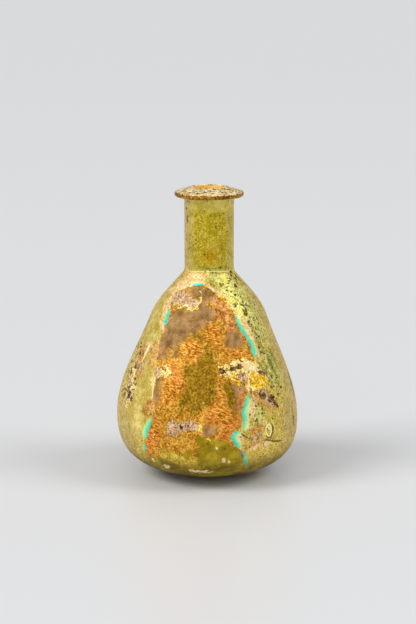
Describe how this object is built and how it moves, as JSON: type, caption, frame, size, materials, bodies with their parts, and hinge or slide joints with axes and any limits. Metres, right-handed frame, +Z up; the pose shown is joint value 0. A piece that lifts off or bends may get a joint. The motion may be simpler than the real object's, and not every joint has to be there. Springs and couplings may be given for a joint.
{
  "type": "roman glass unguentarium",
  "caption": "Small blown glass oil flask with a squat body, straight neck and flat folded rim, hollow and open at the mouth, under an iridescent weathering crust.",
  "frame": {"origin": "the middle of the foot on the ground, under the middle of the belly", "axes": "+Z up along the flask to the mouth, +X to the right as the picture shows it, -Y towards its viewer"},
  "size_m": [0.0694, 0.0694, 0.11],
  "materials": {
    "weathered_glass": "weathered, iridescent"
  },
  "bodies": {
    "root": {"unguentarium": "weathered_glass"}
  },
  "joints": []
}
